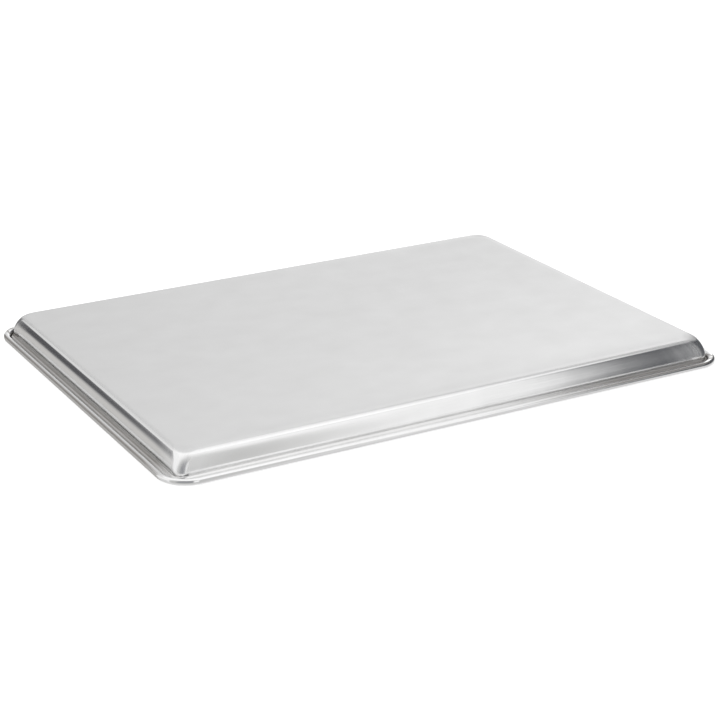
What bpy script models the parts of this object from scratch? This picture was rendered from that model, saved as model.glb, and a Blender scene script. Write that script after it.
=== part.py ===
"""Full-size commercial sheet pan, lying upside down on its rim.

One pressed aluminium sheet makes the base, the walls, the flange and the rolled rim.
One steel wire runs round the perimeter inside the roll and stiffens it.
Metres, +Z up. The rim's edge lies on z = 0, the base's outside looks up and the long sides lie along X.
"""

import math

import bmesh
import bpy

MM = 0.001

# Overall size, from outer edge to outer edge of the rolled rim
PAN_LENGTH = 660.4 * MM
PAN_WIDTH = 457.2 * MM
PAN_HEIGHT = 26.4 * MM

# Section of the sheet. The flange's width is measured in from the rim's outer edge. The wall stands upright
# on its foot and bows in towards the rounded edge of the base.
SHEET_THICKNESS = 1.0 * MM
FLANGE_WIDTH = 12.6 * MM
FOOT_RADIUS = 1.0 * MM
WALL_RADIUS = 40.0 * MM
BASE_EDGE_RADIUS = 7.0 * MM

# Corners seen from above: radius at the rim's outer edge and round the base's flat. The wall reaches out
# into the corners, and leaves of the flange this width between its foot and the bend down to the roll.
RIM_CORNER_RADIUS = 32.0 * MM
BASE_CORNER_RADIUS = 20.0 * MM
CORNER_FLANGE_WIDTH = 1.2 * MM

# Stiffening wire, and the roll that is closed over it down to the flange
WIRE_DIAMETER = 3.4 * MM
WIRE_CLEARANCE = 0.3 * MM
WIRE_END_GAP = 2.0 * MM
ROLL_CLOSING_GAP = 0.3 * MM

# Facets
CORNER_STEPS = 10
EDGE_STEPS = 5
WALL_STEPS = 5
FOOT_STEPS = 3
ROLL_STEPS_PER_QUARTER = 5
WIRE_BEVEL_RESOLUTION = 4
SMOOTH_ANGLE = math.radians(40.0)

# The roll's section, and the height of the flange that its raw edge comes down to
ROLL_BORE_RADIUS = WIRE_DIAMETER / 2 + WIRE_CLEARANCE
ROLL_RADIUS = ROLL_BORE_RADIUS + SHEET_THICKNESS
FLANGE_TOP = ROLL_RADIUS - ROLL_CLOSING_GAP
FACET_ANGLE = math.pi / 2 / ROLL_STEPS_PER_QUARTER
NECK_SLOPE = 2 * FACET_ANGLE


def arc(centre, radius, start, end, steps):
    """Points (inset, height) along an arc. Angles run from the inset axis towards +Z."""
    points = []
    for step in range(steps + 1):
        angle = start + (end - start) * step / steps
        points.append((centre[0] + radius * math.cos(angle), centre[1] + radius * math.sin(angle)))
    return points


def wall_section():
    """The rounded edge of the base, the bowed wall and the hollow fillet at its foot, from the flat down."""
    foot_centre = (FLANGE_WIDTH, FLANGE_TOP + FOOT_RADIUS)
    wall_centre = (FLANGE_WIDTH + FOOT_RADIUS + WALL_RADIUS, FLANGE_TOP + FOOT_RADIUS)
    edge_height = PAN_HEIGHT - BASE_EDGE_RADIUS
    reach = WALL_RADIUS - BASE_EDGE_RADIUS
    lean = math.asin((edge_height - wall_centre[1]) / reach)
    edge_centre = (wall_centre[0] - reach * math.cos(lean), edge_height)
    edge = arc(edge_centre, BASE_EDGE_RADIUS, math.pi / 2, math.pi - lean, EDGE_STEPS)
    wall = arc(wall_centre, WALL_RADIUS, math.pi - lean, math.pi, WALL_STEPS)
    foot = arc(foot_centre, FOOT_RADIUS, 0.0, -math.pi / 2, FOOT_STEPS)
    return edge + wall[1:] + foot[1:]


def roll_section():
    """The bore of the roll: its facets touch the bore's circle, and one of them is level at the bottom."""
    corner_radius = ROLL_BORE_RADIUS / math.cos(FACET_ANGLE / 2)
    start = -math.pi / 2 + 1.5 * FACET_ANGLE
    last_corner = -2 * math.pi + FACET_ANGLE / 2
    steps = round((start - last_corner) / FACET_ANGLE)
    corners = arc((ROLL_RADIUS, ROLL_RADIUS), corner_radius, start, last_corner, steps)
    return corners + [(ROLL_RADIUS + ROLL_BORE_RADIUS, ROLL_RADIUS)]


def neck_point():
    """Where the flange bends down to the roll: the neck runs from there along the roll's first facet."""
    touch_x = ROLL_RADIUS + ROLL_BORE_RADIUS * math.sin(NECK_SLOPE)
    touch_z = ROLL_RADIUS - ROLL_BORE_RADIUS * math.cos(NECK_SLOPE)
    return (touch_x + (FLANGE_TOP - touch_z) / math.tan(NECK_SLOPE), FLANGE_TOP)


def blend(start, end, share):
    return start + (end - start) * share


def rim_loops():
    """Neck and roll: an even offset of the rim's outline."""
    section = [neck_point()] + roll_section()
    return [(inset, height, RIM_CORNER_RADIUS - inset) for inset, height in section]


def foot_corner_radius():
    """Corner radius of the foot that leaves the flange its width across the corners."""
    diagonal = math.sqrt(2)
    neck_inset = neck_point()[0]
    neck_reach = neck_inset * diagonal + (RIM_CORNER_RADIUS - neck_inset) * (diagonal - 1)
    return (neck_reach + CORNER_FLANGE_WIDTH - FLANGE_WIDTH * diagonal) / (diagonal - 1)


def wall_loops():
    """Base edge, wall and foot: the corner tightens from the base's radius to the foot's."""
    section = wall_section()
    flat_start = section[0][0]
    foot_radius = foot_corner_radius()
    loops = []
    for inset, height in section:
        share = (inset - FLANGE_WIDTH) / (flat_start - FLANGE_WIDTH)
        loops.append((inset, height, blend(foot_radius, BASE_CORNER_RADIUS, share)))
    return loops


def rounded_rectangle(inset, height, radius):
    """One closed loop of points at an inset from the rim's outline, counter-clockwise from +X."""
    half_x = PAN_LENGTH / 2 - inset - radius
    half_y = PAN_WIDTH / 2 - inset - radius
    points = []
    for quarter, (side_x, side_y) in enumerate(((1, 1), (-1, 1), (-1, -1), (1, -1))):
        for step in range(CORNER_STEPS + 1):
            angle = math.pi / 2 * (quarter + step / CORNER_STEPS)
            x = side_x * half_x + radius * math.cos(angle)
            y = side_y * half_y + radius * math.sin(angle)
            points.append((x, y, height))
    return points


def bridge(mesh, inner, outer):
    """Quads between two loops of vertices, facing away from the sheet's other side."""
    for index, vertex in enumerate(inner):
        following = (index + 1) % len(inner)
        mesh.faces.new((vertex, outer[index], outer[following], inner[following]))


def metal(name, colour, roughness):
    material = bpy.data.materials.new(name)
    material.use_nodes = True
    shader = material.node_tree.nodes["Principled BSDF"]
    shader.inputs["Base Color"].default_value = (*colour, 1.0)
    shader.inputs["Metallic"].default_value = 1.0
    shader.inputs["Roughness"].default_value = roughness
    return material


def place(name, data, material):
    data.materials.append(material)
    piece = bpy.data.objects.new(name, data)
    bpy.context.scene.collection.objects.link(piece)
    return piece


def make_pan_sheet():
    """Base, walls, flange and rolled rim, swept as the sheet's outside face and then given thickness."""
    loops = wall_loops() + rim_loops()
    mesh = bmesh.new()
    rings = [[mesh.verts.new(point) for point in rounded_rectangle(*loop)] for loop in loops]
    mesh.faces.new(rings[0])
    for inner, outer in zip(rings, rings[1:]):
        bridge(mesh, inner, outer)
    data = bpy.data.meshes.new("pan_sheet")
    mesh.to_mesh(data)
    mesh.free()
    data.shade_smooth()
    data.set_sharp_from_angle(angle=SMOOTH_ANGLE)
    piece = place("pan_sheet", data, metal("pressed_aluminium", (0.80, 0.80, 0.81), 0.35))
    solidify = piece.modifiers.new("Sheet thickness", "SOLIDIFY")
    solidify.thickness = SHEET_THICKNESS
    solidify.offset = -1.0
    solidify.use_even_offset = True
    return piece


def make_rim_wire():
    """One round wire bent to the rim's outline. Its two ends butt in the middle of the +Y side."""
    outline = rounded_rectangle(ROLL_RADIUS, ROLL_RADIUS, RIM_CORNER_RADIUS - ROLL_RADIUS)
    seam = CORNER_STEPS + 1
    seam_y = PAN_WIDTH / 2 - ROLL_RADIUS
    start = (-WIRE_END_GAP / 2, seam_y, ROLL_RADIUS)
    end = (WIRE_END_GAP / 2, seam_y, ROLL_RADIUS)
    path = [start] + outline[seam:] + outline[:seam] + [end]
    curve = bpy.data.curves.new("rim_wire", "CURVE")
    curve.dimensions = "3D"
    curve.bevel_depth = WIRE_DIAMETER / 2
    curve.bevel_resolution = WIRE_BEVEL_RESOLUTION
    curve.use_fill_caps = True
    spline = curve.splines.new("POLY")
    spline.points.add(len(path) - 1)
    for point, location in zip(spline.points, path):
        point.co = (*location, 1.0)
    return place("rim_wire", curve, metal("galvanised_steel", (0.55, 0.56, 0.57), 0.40))


def main():
    for old in list(bpy.context.scene.objects):
        bpy.data.objects.remove(old)
    make_pan_sheet()
    make_rim_wire()


main()
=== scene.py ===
import math

import bmesh
import bpy
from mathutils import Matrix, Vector


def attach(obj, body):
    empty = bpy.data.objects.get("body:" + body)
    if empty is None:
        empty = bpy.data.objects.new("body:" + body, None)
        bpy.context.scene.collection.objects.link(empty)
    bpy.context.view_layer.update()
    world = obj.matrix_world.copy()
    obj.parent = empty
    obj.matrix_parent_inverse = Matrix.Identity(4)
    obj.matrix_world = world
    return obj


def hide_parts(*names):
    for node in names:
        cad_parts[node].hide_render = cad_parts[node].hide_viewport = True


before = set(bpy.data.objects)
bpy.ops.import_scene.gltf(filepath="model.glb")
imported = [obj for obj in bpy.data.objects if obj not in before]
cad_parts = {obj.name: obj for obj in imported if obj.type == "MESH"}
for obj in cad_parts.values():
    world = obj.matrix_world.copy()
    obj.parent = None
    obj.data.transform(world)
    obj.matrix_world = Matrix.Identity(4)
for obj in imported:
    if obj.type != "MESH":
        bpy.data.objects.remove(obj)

MM = 0.001

# The pan's sizes, as in its solids. The foot and its corners, the neck, the roll and the bow of the wall are
# drawn finer here than there, which moves the surface by less than 2 mm.
PAN_LENGTH = 660.4 * MM
PAN_WIDTH = 457.2 * MM
PAN_HEIGHT = 26.4 * MM
SHEET_THICKNESS = 1.0 * MM
FLANGE_WIDTH = 11.1 * MM
FLANGE_TOP = 2.7 * MM
FOOT_RADIUS = 2.5 * MM
WALL_RADIUS = 34.4 * MM
BASE_EDGE_RADIUS = 7.0 * MM

# Corners seen from above
RIM_CORNER_RADIUS = 32.0 * MM
FOOT_CORNER_RADIUS = 10.0 * MM
BASE_CORNER_RADIUS = 20.0 * MM

# The neck, where the flange bends down, and the roll round the wire. The roll's outer half is squarer than a
# circle, and its inner half is drawn out towards the pan.
NECK_INSET = 10.4 * MM
NECK_SLOPE = math.radians(55.0)
NECK_BEND_RADIUS = 2.2 * MM
NECK_HOLLOW_RADIUS = 1.0 * MM
ROLL_BORE_RADIUS = 2.0 * MM
ROLL_RADIUS = ROLL_BORE_RADIUS + SHEET_THICKNESS
ROLL_INNER_WIDTH = 4.1 * MM
ROLL_OUTER_POWER = 2.6
ROLL_INNER_POWER = 2.0
ROLL_END = math.radians(-390.0)

# Facets of the fine sheet. Each of its two flats starts at a loop that lies the margin inside its edge.
CORNER_STEPS = 28
SIDE_STEPS = 12
EDGE_STEPS = 20
WALL_STEPS = 14
FOOT_STEPS = 10
NECK_STEPS = 8
ROLL_STEPS = 64
FLAT_MARGIN = 3.0 * MM
SMOOTH_ANGLE = math.radians(50.0)

# Camera of the photograph. The photograph is taken to be cropped: its principal point lies left of the middle
# by this number of its pixels.
CAMERA_PLACE = Vector((-0.95859, -1.59537, 0.73466))
CAMERA_AIM = Vector((0.43890, 0.81721, -0.37355))
CAMERA_LENS = 91.06
CAMERA_SENSOR = 36.0
PHOTO_WIDTH = 720.0
PRINCIPAL_POINT_OFFSET = 88.0

# Metal of the sheet, satin on the base and burnished on the walls and the rim. Its brownish dark colour
# paints shade into the creases and also mottles the metal a little at random.
# Then metal of the wire.
SATIN_COLOUR = (0.75, 0.75, 0.75)
SATIN_ROUGHNESS = 0.42
WALL_COLOUR = (0.90, 0.90, 0.90)
WALL_ROUGHNESS = 0.10
# Brownish dark: painted shade in the creases, the gap and on the roll's shoulder, and the darker tone of the
# random mottle
DULL_AND_SHADE_COLOUR = (0.20, 0.18, 0.16)
# Roughness added where shade is painted
PAINTED_SHADE_ROUGHNESS = 0.45
WIRE_DARK = (0.40, 0.41, 0.42)
WIRE_LIGHT = (0.64, 0.65, 0.66)
WIRE_ROUGHNESS = 0.38

# Noises: count per metre along each axis, and detail. The first three run round and across the sheet.
LINES = ((14.0, 1700.0, 1.0), 3.0)
BANDS = ((22.0, 60.0, 1.0), 2.0)
MARKS = ((420.0, 30.0, 1.0), 4.0)
SPECKLE = ((1500.0, 2200.0, 2200.0), 2.0)
ROLLING = ((12.0, 900.0, 900.0), 3.0)
MOTTLE = ((26.0, 34.0, 34.0), 4.0)
SPANGLE = ((700.0, 700.0, 700.0), 3.0)

# Ranges that the noises are mapped to, for their part in the random mottle, in the spread of the painted
# shade or in the roughness
MOTTLE_GRIME = (-0.05, 0.15)
MOTTLE_GRIME_SHARE = 0.5
# Range of the bands noise that varies the painted shade
BANDS_PAINTED_SHADE = (0.75, 0.95)
LINES_ROUGHNESS = (-0.02, 0.03)
MOTTLE_ROUGHNESS = (-0.02, 0.03)
MARKS_ROUGHNESS = (0.05, 0.30)
SPANGLE_ROUGHNESS = (-0.08, 0.12)

# Depth of the fine relief
GRAIN_DEPTH = 0.006 * MM
LINES_DEPTH = 0.0025 * MM
BANDS_DEPTH = 0.03 * MM
MARKS_DEPTH = 0.04 * MM
SPANGLE_DEPTH = 0.01 * MM

# The satin gives way to burnished metal where the surface tilts, and at the latest below the base's edge
BURNISH_START = 0.09
BURNISH_END = 0.20
BURNISH_DROP = 3.0 * MM
BURNISH_DROP_FADE = 2.0 * MM

# Draw marks on the walls of the corners
CORNER_REACH = 42.0 * MM
CORNER_FADE = 14.0 * MM
CORNER_FOOT = 4.5 * MM
CORNER_RISE = 3.0 * MM

# How the painted shade spreads along the short and the long sides
PAINTED_SHADE_CORNER = 15.0 * MM
PAINTED_SHADE_FADE = 10.0 * MM
PAINTED_SHADE_NEAR_FADE = 36.0 * MM
PAINTED_SHADE_LONG_START = 60.0 * MM
PAINTED_SHADE_LONG_FADE = 140.0 * MM
PAINTED_SHADE_LONG_SHARE = 0.85

# Where the painted shade lies across the sheet: in the crease at the wall's foot, in the gap beside the roll
# and on the roll's shoulder. A level above 1 keeps a fade at its full value for a while.
CREASE_START = 0.7 * FOOT_RADIUS
CREASE_REACH = 2.4 * MM
CREASE_OUT_LEVEL = 1.3
CREASE_HEIGHT = 3.2 * MM
CREASE_LONG_HEIGHT = 3.6 * MM
CREASE_UP_LEVEL = 1.1
CREASE_LEAST = 0.15
GAP_INSET = 9.1 * MM
GAP_REACH = 1.8 * MM
GAP_SHARE = 0.85
SHOULDER_TILT = math.radians(54.0)
SHOULDER_REACH = math.radians(45.0)
SHOULDER_SHARE = 0.90
PEAK_LEVEL = 1.5

# Floor, sky and lamp
WHITE = (1.0, 1.0, 1.0)
FLOOR_SIZE = 12.0
FLOOR_COLOUR = (0.84, 0.84, 0.84)
FLOOR_GLOW = 0.40
SKY_STRENGTH = 1.0
LAMP_PLACE = (-0.3, 0.2, 2.6)
LAMP_SIZE = (3.0, 3.0)
LAMP_STRENGTH = 0.12

# Studio cards for the metal to mirror, nearest first. Each has its outline as (azimuth, elevation) seen from
# the pan and the softness of its edge, both in degrees, and its colour.
CARD_DISTANCE = 30.0
CARD_SPACING = 0.5
CARD_STEP = 1.5
CARDS = {
    "dark_room_right": (
        [(-54.2, -18), (-55.4, -8), (-55.8, 0), (-55.4, 8), (-54.3, 16), (-52.9, 22), (-50.9, 28),
         (-48.1, 34), (-44.5, 40), (-39, 44.5), (-30, 48), (-20, 50.5), (-8, 52.5), (4, 53.5),
         (14, 52.5), (24, 50), (32, 44.5), (38, 37), (40, 26), (39, 8), (28, -4), (18, -12), (-20, -18)],
        3.0, (0.096, 0.099, 0.107)),
    "dark_room_left": (
        [(86, -12), (86, 10), (88, 20), (94, 25), (103, 25), (110, 16), (116, 11.5), (121, 11),
         (126.5, 6), (125.5, -1), (120, -3.2), (116, -4.5), (112, -6.5), (104, -12), (95, -15)],
        3.0, (0.092, 0.092, 0.098)),
    "dark_left_end": (
        [(112, -6), (112, 13), (128, 15), (140, 11), (140, -1), (128, -6)],
        7.0, (0.33, 0.33, 0.335)),
    "grey_right_low": ([(-57, -22), (-57, 0), (44, 0), (44, -22)], 6.0, (0.36, 0.36, 0.36)),
    "grey_left_back": ([(62, 2), (62, 46), (100, 50), (124, 36), (126, 2)], 8.0, (0.75, 0.75, 0.75)),
    "grey_left_low": ([(70, -16), (70, 8), (130, 8), (130, -16)], 4.0, (0.59, 0.58, 0.565)),
    "grey_left_floor": ([(70, -46), (70, -8), (130, -8), (130, -46)], 4.0, (0.45, 0.44, 0.43)),
    "bright_camera_side": ([(-96, -26), (-96, 26), (-71, 26), (-71, -26)], 6.0, (1.0, 1.0, 1.0)),
    "dark_camera_side": (
        [(-158, -30), (-148, 20), (-135, 44), (-95, 44), (-76, 20), (-68, 0), (-66, -30)],
        13.0, (0.32, 0.325, 0.34)),
    "grey_camera_side": (
        [(-176, -40), (-176, 8), (-168, 30), (-156, 48), (-140, 58), (-100, 58), (-80, 48), (-64, 30),
         (-59.5, 20), (-59.5, -40)],
        7.0, (0.57, 0.57, 0.565)),
    "bright_right_back": ([(37, -10), (37, 40), (57, 40), (57, -10)], 7.0, (1.36, 1.36, 1.36)),
    "bright_overhead": (
        [(-90, 28), (-90, 64), (-34, 64), (-36, 44), (-52, 28)],
        5.0, (1.12, 1.12, 1.12)),
    "grey_below": ([(-181, -88), (-181, -14), (181, -14), (181, -88)], 6.0, (0.72, 0.72, 0.72)),
}


def blend(start, end, share):
    return start + (end - start) * share


def limited(value):
    return max(0.0, min(1.0, value))


def arc(centre, radius, start, end, steps, hollow=False):
    """Points (inset, height) along an arc, each with the normal of the sheet's outside face."""
    sign = -1.0 if hollow else 1.0
    points = []
    for step in range(steps + 1):
        angle = start + (end - start) * step / steps
        out = Vector((math.cos(angle), math.sin(angle)))
        points.append((Vector(centre) + radius * out, sign * out))
    return points


def wall_section():
    """Rounded edge of the base, bowed wall and hollow foot, from the flat down."""
    foot_centre = (FLANGE_WIDTH, FLANGE_TOP + FOOT_RADIUS)
    wall_centre = (FLANGE_WIDTH + FOOT_RADIUS + WALL_RADIUS, FLANGE_TOP + FOOT_RADIUS)
    edge_height = PAN_HEIGHT - BASE_EDGE_RADIUS
    reach = WALL_RADIUS - BASE_EDGE_RADIUS
    lean = math.asin((edge_height - wall_centre[1]) / reach)
    edge_centre = (wall_centre[0] - reach * math.cos(lean), edge_height)
    edge = arc(edge_centre, BASE_EDGE_RADIUS, math.pi / 2, math.pi - lean, EDGE_STEPS)
    wall = arc(wall_centre, WALL_RADIUS, math.pi - lean, math.pi, WALL_STEPS)
    foot = arc(foot_centre, FOOT_RADIUS, 0.0, -math.pi / 2, FOOT_STEPS, hollow=True)
    return edge + wall[1:] + foot[1:]


def neck_section():
    """The bend down from the flange and the hollow that ends it at the rim's bottom."""
    bend_centre = Vector((NECK_INSET, FLANGE_TOP - NECK_BEND_RADIUS))
    bend = arc(bend_centre, NECK_BEND_RADIUS, math.pi / 2, math.pi / 2 + NECK_SLOPE, NECK_STEPS)
    foot, normal = bend[-1]
    hollow_height = SHEET_THICKNESS + NECK_HOLLOW_RADIUS
    drop = foot.y + NECK_HOLLOW_RADIUS * normal.y - hollow_height
    hollow_inset = foot.x + NECK_HOLLOW_RADIUS * normal.x - drop / math.tan(NECK_SLOPE)
    hollow_centre = (hollow_inset, hollow_height)
    start = NECK_SLOPE - math.pi / 2
    hollow = arc(hollow_centre, NECK_HOLLOW_RADIUS, start, -math.pi / 2, NECK_STEPS, hollow=True)
    return bend + hollow


def roll_section():
    """The roll round the wire, from the rim's bottom outwards, over the top and down towards the flange."""
    section = []
    for step in range(ROLL_STEPS + 1):
        angle = blend(-math.pi / 2, ROLL_END, step / ROLL_STEPS)
        cosine = math.cos(angle)
        sine = math.sin(angle)
        power = ROLL_OUTER_POWER if cosine < 0 else ROLL_INNER_POWER
        reach = (abs(cosine) ** power + abs(sine) ** power) ** (-1 / power)
        spot = Vector((cosine, sine)) * reach
        size = Vector((ROLL_INNER_WIDTH if cosine > 0 else ROLL_RADIUS, ROLL_RADIUS))
        out = Vector([math.copysign(abs(part) ** (power - 1), part) / half for part, half in zip(spot, size)])
        out.normalize()
        place = Vector((ROLL_RADIUS, ROLL_RADIUS)) + size * spot - SHEET_THICKNESS * out
        section.append((place, -out))
    return section


def corner_radius(inset, flat_inset, rim_inset):
    """Corner radius in plan: even offsets along the rim, tight at the wall's foot, wide round the base."""
    foot_inset = FLANGE_WIDTH + FOOT_RADIUS
    if inset > foot_inset:
        share = min(1.0, (inset - foot_inset) / (flat_inset - foot_inset))
        return blend(FOOT_CORNER_RADIUS, BASE_CORNER_RADIUS, share)
    share = max(0.0, (inset - rim_inset) / (foot_inset - rim_inset))
    return blend(RIM_CORNER_RADIUS - min(inset, rim_inset), FOOT_CORNER_RADIUS, share)


def outline(inset, height, radius):
    """One closed loop round the pan at an inset from the rim, counter-clockwise from +X."""
    half_x = PAN_LENGTH / 2 - inset - radius
    half_y = PAN_WIDTH / 2 - inset - radius
    corners = []
    for quarter, (side_x, side_y) in enumerate(((1, 1), (-1, 1), (-1, -1), (1, -1))):
        for step in range(CORNER_STEPS + 1):
            angle = math.pi / 2 * (quarter + step / CORNER_STEPS)
            x = side_x * half_x + radius * math.cos(angle)
            y = side_y * half_y + radius * math.sin(angle)
            corners.append(Vector((x, y, height)))
    points = []
    for index, point in enumerate(corners):
        points.append(point)
        if (index + 1) % (CORNER_STEPS + 1) == 0:
            following = corners[(index + 1) % len(corners)]
            points += [point.lerp(following, step / SIDE_STEPS) for step in range(1, SIDE_STEPS)]
    return points


def lengths(points):
    """Running length along a list of points."""
    total = [0.0]
    for before, after in zip(points, points[1:]):
        total.append(total[-1] + (after - before).length)
    return total


def sheet_loops():
    """Loops (inset, height, corner radius) of the outside face, then of the other face back to the base."""
    wall = wall_section()
    neck = neck_section()
    flat_inset = wall[0][0].x
    rim_inset = neck[-1][0].x
    flat = (Vector((flat_inset + FLAT_MARGIN, PAN_HEIGHT)), Vector((0.0, 1.0)))
    outside = []
    inside = []
    for point, normal in [flat] + wall + neck + roll_section():
        radius = corner_radius(point.x, flat_inset, rim_inset)
        other = point - SHEET_THICKNESS * normal
        outside.append((point.x, point.y, radius))
        inside.append((other.x, other.y, radius - (other.x - point.x)))
    return outside + inside[::-1]


def sweep(name, loops):
    """Closed sheet swept through the loops, with its two flats filled. UVs run round and across the sheet."""
    mesh = bmesh.new()
    grain = mesh.loops.layers.uv.new("grain")
    rings = [[mesh.verts.new(point) for point in outline(*loop)] for loop in loops]
    across = lengths([Vector((inset, height)) for inset, height, _ in loops])
    middle_of_outside = outline(*loops[len(loops) // 4])
    around = lengths(middle_of_outside + middle_of_outside[:1])
    for row, (inner, outer) in enumerate(zip(rings, rings[1:])):
        for index in range(len(inner)):
            corners = ((inner, row, index), (outer, row + 1, index),
                       (outer, row + 1, index + 1), (inner, row, index + 1))
            face = mesh.faces.new([ring[spot % len(ring)] for ring, _, spot in corners])
            for corner, (_, level, spot) in zip(face.loops, corners):
                corner[grain].uv = (around[spot], across[level])
    for face in (mesh.faces.new(rings[0]), mesh.faces.new(rings[-1][::-1])):
        for corner in face.loops:
            corner[grain].uv = corner.vert.co.xy
    data = bpy.data.meshes.new(name)
    mesh.to_mesh(data)
    mesh.free()
    data.shade_smooth()
    data.set_sharp_from_angle(angle=SMOOTH_ANGLE)
    return data


def burnish_share(vertex):
    """0 on the satin flats, 1 over the edge, the walls and the rim."""
    tilt = 1.0 - abs(vertex.normal.z)
    low = (PAN_HEIGHT - BURNISH_DROP - vertex.co.z) / BURNISH_DROP_FADE
    return max(limited((tilt - BURNISH_START) / (BURNISH_END - BURNISH_START)), limited(low))


def corner_share(vertex):
    """1 on the walls of the four corners, fading out along the sides and down to the foot."""
    along_x = PAN_LENGTH / 2 - abs(vertex.co.x)
    along_y = PAN_WIDTH / 2 - abs(vertex.co.y)
    rise = limited((vertex.co.z - CORNER_FOOT) / CORNER_RISE)
    return rise * limited((CORNER_REACH - max(along_x, along_y)) / CORNER_FADE)


def peak(value, middle, reach):
    """1 near the middle of a range, fading to 0 at its ends."""
    return limited(PEAK_LEVEL - PEAK_LEVEL * abs(value - middle) / reach)


def painted_shade_share(vertex):
    """Painted shade in the crease at the walls' foot, in the gap beside the roll and on the roll's shoulder.

    It is full on the short sides, apart from their -Y ends, and grows along the long sides towards +X.
    """
    inset_x = PAN_LENGTH / 2 - abs(vertex.co.x)
    inset = min(inset_x, PAN_WIDTH / 2 - abs(vertex.co.y))
    short_side = 1.0 - limited((inset_x - PAINTED_SHADE_CORNER) / PAINTED_SHADE_FADE)
    short_side *= limited((vertex.co.y + PAN_WIDTH / 2 - PAINTED_SHADE_CORNER) / PAINTED_SHADE_NEAR_FADE)
    long_side = PAINTED_SHADE_LONG_SHARE * limited((vertex.co.x - PAINTED_SHADE_LONG_START) / PAINTED_SHADE_LONG_FADE)
    amount = max(short_side, long_side)
    if inset < ROLL_RADIUS:
        tilt = math.asin(limited(vertex.normal.z))
        return SHOULDER_SHARE * amount * peak(tilt, SHOULDER_TILT, SHOULDER_REACH)
    out = limited(CREASE_OUT_LEVEL - max(0.0, FLANGE_WIDTH + CREASE_START - inset) / CREASE_REACH)
    height = blend(CREASE_LONG_HEIGHT, CREASE_HEIGHT, short_side)
    up = limited(CREASE_UP_LEVEL - (vertex.co.z - FLANGE_TOP) / height)
    crease = out * up * blend(CREASE_LEAST, 1.0, amount)
    return max(crease, GAP_SHARE * amount * peak(inset, GAP_INSET, GAP_REACH))


def mark(data, name, share):
    attribute = data.attributes.new(name, "FLOAT", "POINT")
    for vertex, value in zip(data.vertices, attribute.data):
        value.value = share(vertex)


def math_node(nodes, links, operation, first, second):
    node = nodes.new("ShaderNodeMath")
    node.operation = operation
    for socket, value in zip(node.inputs, (first, second)):
        if isinstance(value, float):
            socket.default_value = value
        else:
            links.new(value, socket)
    return node.outputs[0]


def attribute_node(nodes, name):
    node = nodes.new("ShaderNodeAttribute")
    node.attribute_name = name
    return node.outputs["Fac"]


def noise_node(nodes, links, place, scale, detail):
    """Noise with its own count per metre along each axis of the coordinate."""
    mapping = nodes.new("ShaderNodeMapping")
    mapping.inputs["Scale"].default_value = scale
    links.new(place, mapping.inputs["Vector"])
    noise = nodes.new("ShaderNodeTexNoise")
    noise.inputs["Scale"].default_value = 1.0
    noise.inputs["Detail"].default_value = detail
    links.new(mapping.outputs["Vector"], noise.inputs["Vector"])
    return noise.outputs["Fac"]


def range_node(nodes, links, value, low, high):
    node = nodes.new("ShaderNodeMapRange")
    node.inputs["To Min"].default_value = low
    node.inputs["To Max"].default_value = high
    links.new(value, node.inputs["Value"])
    return node.outputs["Result"]


def tone_node(nodes, links, share, first, second):
    """Mix of two colours. Each is a plain colour or another node's output."""
    node = nodes.new("ShaderNodeMix")
    node.data_type = "RGBA"
    links.new(share, node.inputs["Factor"])
    for socket, colour in ((node.inputs["A"], first), (node.inputs["B"], second)):
        if isinstance(colour, tuple):
            socket.default_value = (*colour, 1.0)
        else:
            links.new(colour, socket)
    return node.outputs["Result"]


def bump_node(nodes, links, height, distance, below=None):
    node = nodes.new("ShaderNodeBump")
    node.inputs["Distance"].default_value = distance
    links.new(height, node.inputs["Height"])
    if below:
        links.new(below, node.inputs["Normal"])
    return node.outputs["Normal"]


def simple_metal(name, colour, roughness):
    material = bpy.data.materials.new(name)
    material.use_nodes = True
    shader = material.node_tree.nodes["Principled BSDF"]
    shader.inputs["Base Color"].default_value = (*colour, 1.0)
    shader.inputs["Metallic"].default_value = 1.0
    shader.inputs["Roughness"].default_value = roughness
    return material


def sheet_sources(nodes, links):
    """What the finish is made from, by name: the shares marked on the mesh, and the noises."""
    uv_map = nodes.new("ShaderNodeUVMap")
    uv_map.uv_map = "grain"
    along = uv_map.outputs["UV"]
    place = nodes.new("ShaderNodeTexCoord").outputs["Object"]
    sources = {name: attribute_node(nodes, name) for name in ("burnish", "corner", "painted_shade")}
    for name, coordinate, noise in (
            ("lines", along, LINES), ("bands", along, BANDS), ("marks", along, MARKS),
            ("speckle", place, SPECKLE), ("rolling", place, ROLLING), ("mottle", place, MOTTLE)):
        sources[name] = noise_node(nodes, links, coordinate, *noise)
    return sources


def sheet_tone(nodes, links, sources, painted_shade_amount):
    """Darker satin and brighter burnished metal, a little mottled, with the painted shade over both."""
    tone = tone_node(nodes, links, sources["burnish"], SATIN_COLOUR, WALL_COLOUR)
    mottle = range_node(nodes, links, sources["mottle"], *MOTTLE_GRIME)
    dull = math_node(nodes, links, "MULTIPLY", mottle, MOTTLE_GRIME_SHARE)
    tone = tone_node(nodes, links, dull, tone, DULL_AND_SHADE_COLOUR)
    # Darkens the tone where shade is painted: the foot's crease, the gap beside the roll and the roll's
    # shoulder
    return tone_node(nodes, links, painted_shade_amount, tone, DULL_AND_SHADE_COLOUR)


def sheet_roughness(nodes, links, sources, painted_shade_amount):
    """Rougher on the satin, in the draw marks of the corners and under the painted shade."""
    marks = range_node(nodes, links, sources["marks"], *MARKS_ROUGHNESS)
    rough = range_node(nodes, links, sources["burnish"], SATIN_ROUGHNESS, WALL_ROUGHNESS)
    for part in (
            range_node(nodes, links, sources["lines"], *LINES_ROUGHNESS),
            range_node(nodes, links, sources["mottle"], *MOTTLE_ROUGHNESS),
            math_node(nodes, links, "MULTIPLY", sources["corner"], marks),
            math_node(nodes, links, "MULTIPLY", painted_shade_amount, PAINTED_SHADE_ROUGHNESS)):
        rough = math_node(nodes, links, "ADD", rough, part)
    return rough


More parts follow.
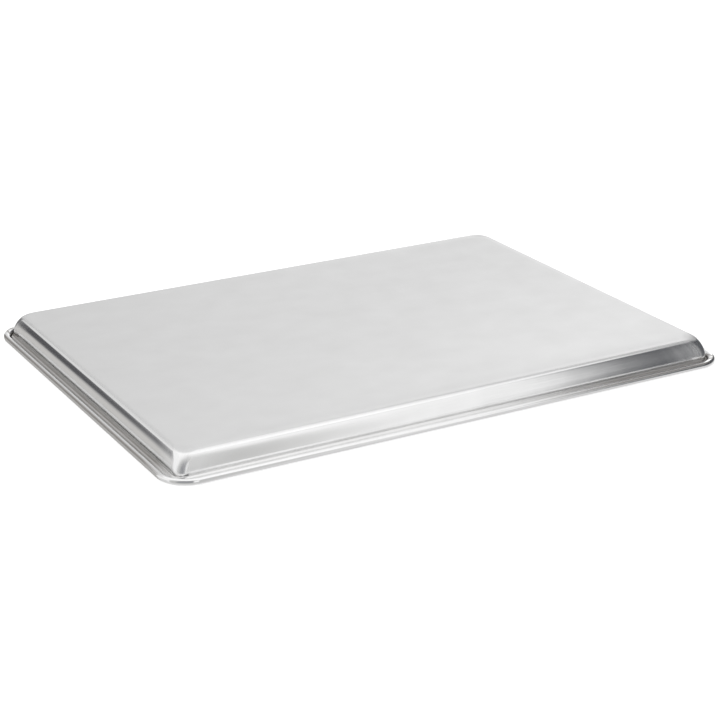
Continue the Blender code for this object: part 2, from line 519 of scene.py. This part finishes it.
def sheet_relief(nodes, links, sources):
    """Grain of the satin, lines and bands of the burnished metal, and draw marks of the corners."""
    satin = math_node(nodes, links, "SUBTRACT", 1.0, sources["burnish"])
    grain = math_node(nodes, links, "ADD", sources["rolling"], sources["speckle"])
    # Lines relief only on burnished metal outside the painted shade
    unshaded_burnish = math_node(nodes, links, "SUBTRACT", sources["burnish"], sources["painted_shade"])
    unshaded_burnish = math_node(nodes, links, "MAXIMUM", unshaded_burnish, 0.0)
    normal = None
    for height, share, depth in (
            (grain, satin, GRAIN_DEPTH),
            (sources["lines"], unshaded_burnish, LINES_DEPTH),
            (sources["bands"], sources["burnish"], BANDS_DEPTH),
            (sources["marks"], sources["corner"], MARKS_DEPTH)):
        relief = math_node(nodes, links, "MULTIPLY", height, share)
        normal = bump_node(nodes, links, relief, depth, normal)
    return normal


def sheet_finish():
    """Satin base, burnished walls and rim, draw marks on the corners and painted shade in the creases."""
    material = simple_metal("satin_aluminium", WALL_COLOUR, WALL_ROUGHNESS)
    nodes = material.node_tree.nodes
    links = material.node_tree.links
    shader = nodes["Principled BSDF"]
    sources = sheet_sources(nodes, links)
    bands = range_node(nodes, links, sources["bands"], *BANDS_PAINTED_SHADE)
    # Painted shade: the crease, gap and shoulder mask, varied by the bands
    painted_shade_amount = math_node(nodes, links, "MULTIPLY", sources["painted_shade"], bands)
    links.new(sheet_tone(nodes, links, sources, painted_shade_amount), shader.inputs["Base Color"])
    links.new(sheet_roughness(nodes, links, sources, painted_shade_amount), shader.inputs["Roughness"])
    links.new(sheet_relief(nodes, links, sources), shader.inputs["Normal"])
    return material


def wire_finish():
    """Dull galvanised steel with its spangle."""
    material = simple_metal("galvanised_wire", WIRE_DARK, WIRE_ROUGHNESS)
    nodes = material.node_tree.nodes
    links = material.node_tree.links
    shader = nodes["Principled BSDF"]
    place = nodes.new("ShaderNodeTexCoord").outputs["Object"]
    spangle = noise_node(nodes, links, place, *SPANGLE)
    rough = range_node(nodes, links, spangle, *SPANGLE_ROUGHNESS)
    rough = math_node(nodes, links, "ADD", rough, WIRE_ROUGHNESS)
    links.new(tone_node(nodes, links, spangle, WIRE_DARK, WIRE_LIGHT), shader.inputs["Base Color"])
    links.new(rough, shader.inputs["Roughness"])
    links.new(bump_node(nodes, links, spangle, SPANGLE_DEPTH), shader.inputs["Normal"])
    return material


def make_sheet():
    data = sweep("pressed_sheet", sheet_loops())
    mark(data, "burnish", burnish_share)
    mark(data, "corner", corner_share)
    # Mask of the shade painted into the creases, the gap and onto the roll's shoulder
    mark(data, "painted_shade", painted_shade_share)
    data.materials.append(sheet_finish())
    piece = bpy.data.objects.new("pressed_sheet", data)
    bpy.context.scene.collection.objects.link(piece)
    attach(piece, "root")
    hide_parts("pan_sheet")


def finish_wire():
    """The wire stays the CAD's own object and gets a material of its own."""
    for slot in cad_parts["rim_wire"].material_slots:
        slot.material = wire_finish()


def floor_finish():
    """Pale diffuse, with a glow that only camera, mirror and refracted rays see, so it lights nothing."""
    material = bpy.data.materials.new("white_floor")
    material.use_nodes = True
    nodes = material.node_tree.nodes
    links = material.node_tree.links
    nodes.remove(nodes["Principled BSDF"])
    diffuse = nodes.new("ShaderNodeBsdfDiffuse")
    diffuse.inputs["Color"].default_value = (*FLOOR_COLOUR, 1.0)
    path = nodes.new("ShaderNodeLightPath")
    shown = math_node(nodes, links, "MAXIMUM", path.outputs["Is Camera Ray"], path.outputs["Is Glossy Ray"])
    shown = math_node(nodes, links, "MAXIMUM", shown, path.outputs["Is Transmission Ray"])
    glow = nodes.new("ShaderNodeEmission")
    glow.inputs["Color"].default_value = (*WHITE, 1.0)
    links.new(math_node(nodes, links, "MULTIPLY", shown, FLOOR_GLOW), glow.inputs["Strength"])
    both = nodes.new("ShaderNodeAddShader")
    links.new(diffuse.outputs[0], both.inputs[0])
    links.new(glow.outputs[0], both.inputs[1])
    links.new(both.outputs[0], nodes["Material Output"].inputs["Surface"])
    return material


def make_floor():
    """Plain pale floor. The metal doesn't mirror it, because the photograph's ground was cut out."""
    half = FLOOR_SIZE / 2
    corners = [(-half, -half, 0), (half, -half, 0), (half, half, 0), (-half, half, 0)]
    data = bpy.data.meshes.new("floor")
    data.from_pydata(corners, [], [(0, 1, 2, 3)])
    data.materials.append(floor_finish())
    floor = bpy.data.objects.new("floor", data)
    floor.visible_glossy = False
    floor.visible_shadow = False
    bpy.context.scene.collection.objects.link(floor)


def direction(azimuth, elevation):
    azimuth = math.radians(azimuth)
    elevation = math.radians(elevation)
    level = math.cos(elevation)
    return Vector((level * math.cos(azimuth), level * math.sin(azimuth), math.sin(elevation)))


def inside_share(spot, corners, softness):
    """How far a spot lies inside a card's outline: 0 outside it, 1 from the softness inwards."""
    distance = math.inf
    inside = False
    for before, after in zip(corners, corners[1:] + corners[:1]):
        edge = after - before
        along = limited((spot - before).dot(edge) / edge.length_squared)
        distance = min(distance, (spot - before - along * edge).length)
        if (before.y > spot.y) != (after.y > spot.y):
            crossing = before.x + (spot.y - before.y) * edge.x / edge.y
            inside ^= spot.x < crossing
    if not inside:
        return 0.0
    share = min(1.0, distance / softness)
    return share * share * (3.0 - 2.0 * share)


def card_finish(name, colour):
    """Glow where the card covers, and clear outside its outline."""
    material = bpy.data.materials.new(name)
    material.use_nodes = True
    material.cycles.emission_sampling = "NONE"
    nodes = material.node_tree.nodes
    links = material.node_tree.links
    nodes.remove(nodes["Principled BSDF"])
    clear = nodes.new("ShaderNodeBsdfTransparent")
    glow = nodes.new("ShaderNodeEmission")
    glow.inputs["Color"].default_value = (*colour, 1.0)
    mix = nodes.new("ShaderNodeMixShader")
    links.new(attribute_node(nodes, "cover"), mix.inputs["Fac"])
    links.new(clear.outputs[0], mix.inputs[1])
    links.new(glow.outputs[0], mix.inputs[2])
    links.new(mix.outputs[0], nodes["Material Output"].inputs["Surface"])
    return material


def make_card(name, distance, corners, softness, colour):
    """Studio card for the metal to mirror, given by the directions (azimuth, elevation) that it covers."""
    corners = [Vector(corner) for corner in corners]
    low = Vector((min(corner.x for corner in corners), min(corner.y for corner in corners)))
    high = Vector((max(corner.x for corner in corners), max(corner.y for corner in corners)))
    across = math.ceil((high.x - low.x) / CARD_STEP)
    up = math.ceil((high.y - low.y) / CARD_STEP)
    spots = [Vector((low.x + (high.x - low.x) * column / across, low.y + (high.y - low.y) * row / up))
             for row in range(up + 1) for column in range(across + 1)]
    faces = []
    for row in range(up):
        for column in range(across):
            first = row * (across + 1) + column
            faces.append((first, first + across + 1, first + across + 2, first + 1))
    data = bpy.data.meshes.new(name)
    data.from_pydata([distance * direction(spot.x, spot.y) for spot in spots], [], faces)
    cover = data.attributes.new("cover", "FLOAT", "POINT")
    for spot, value in zip(spots, cover.data):
        value.value = inside_share(spot, corners, softness)
    data.materials.append(card_finish(name, colour))
    card = bpy.data.objects.new(name, data)
    card.visible_camera = False
    card.visible_diffuse = False
    card.visible_shadow = False
    bpy.context.scene.collection.objects.link(card)


def make_cards():
    for index, (name, (corners, softness, colour)) in enumerate(CARDS.items()):
        make_card(name, CARD_DISTANCE + CARD_SPACING * index, corners, softness, colour)


def make_lamp():
    """Wide soft lamp over the pan, turned to its middle."""
    data = bpy.data.lights.new("overhead_lamp", "AREA")
    data.shape = "RECTANGLE"
    data.size, data.size_y = LAMP_SIZE
    data.energy = LAMP_STRENGTH * math.pi * LAMP_SIZE[0] * LAMP_SIZE[1]
    lamp = bpy.data.objects.new("overhead_lamp", data)
    lamp.location = LAMP_PLACE
    lamp.rotation_euler = (-Vector(LAMP_PLACE)).to_track_quat("-Z", "Y").to_euler()
    bpy.context.scene.collection.objects.link(lamp)


def make_world():
    world = bpy.data.worlds.new("studio")
    bpy.context.scene.world = world
    world.use_nodes = True
    background = world.node_tree.nodes["Background"]
    background.inputs["Color"].default_value = (*WHITE, 1.0)
    background.inputs["Strength"].default_value = SKY_STRENGTH


def make_camera():
    data = bpy.data.cameras.new("camera")
    data.lens = CAMERA_LENS
    data.sensor_width = CAMERA_SENSOR
    data.shift_x = PRINCIPAL_POINT_OFFSET / PHOTO_WIDTH
    camera = bpy.data.objects.new("camera", data)
    camera.location = CAMERA_PLACE
    camera.rotation_euler = CAMERA_AIM.to_track_quat("-Z", "Y").to_euler()
    bpy.context.scene.collection.objects.link(camera)
    bpy.context.scene.camera = camera


def main():
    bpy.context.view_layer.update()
    make_camera()
    make_world()
    make_cards()
    make_lamp()
    make_floor()
    make_sheet()
    finish_wire()
    bpy.context.scene.view_settings.view_transform = "Standard"


main()
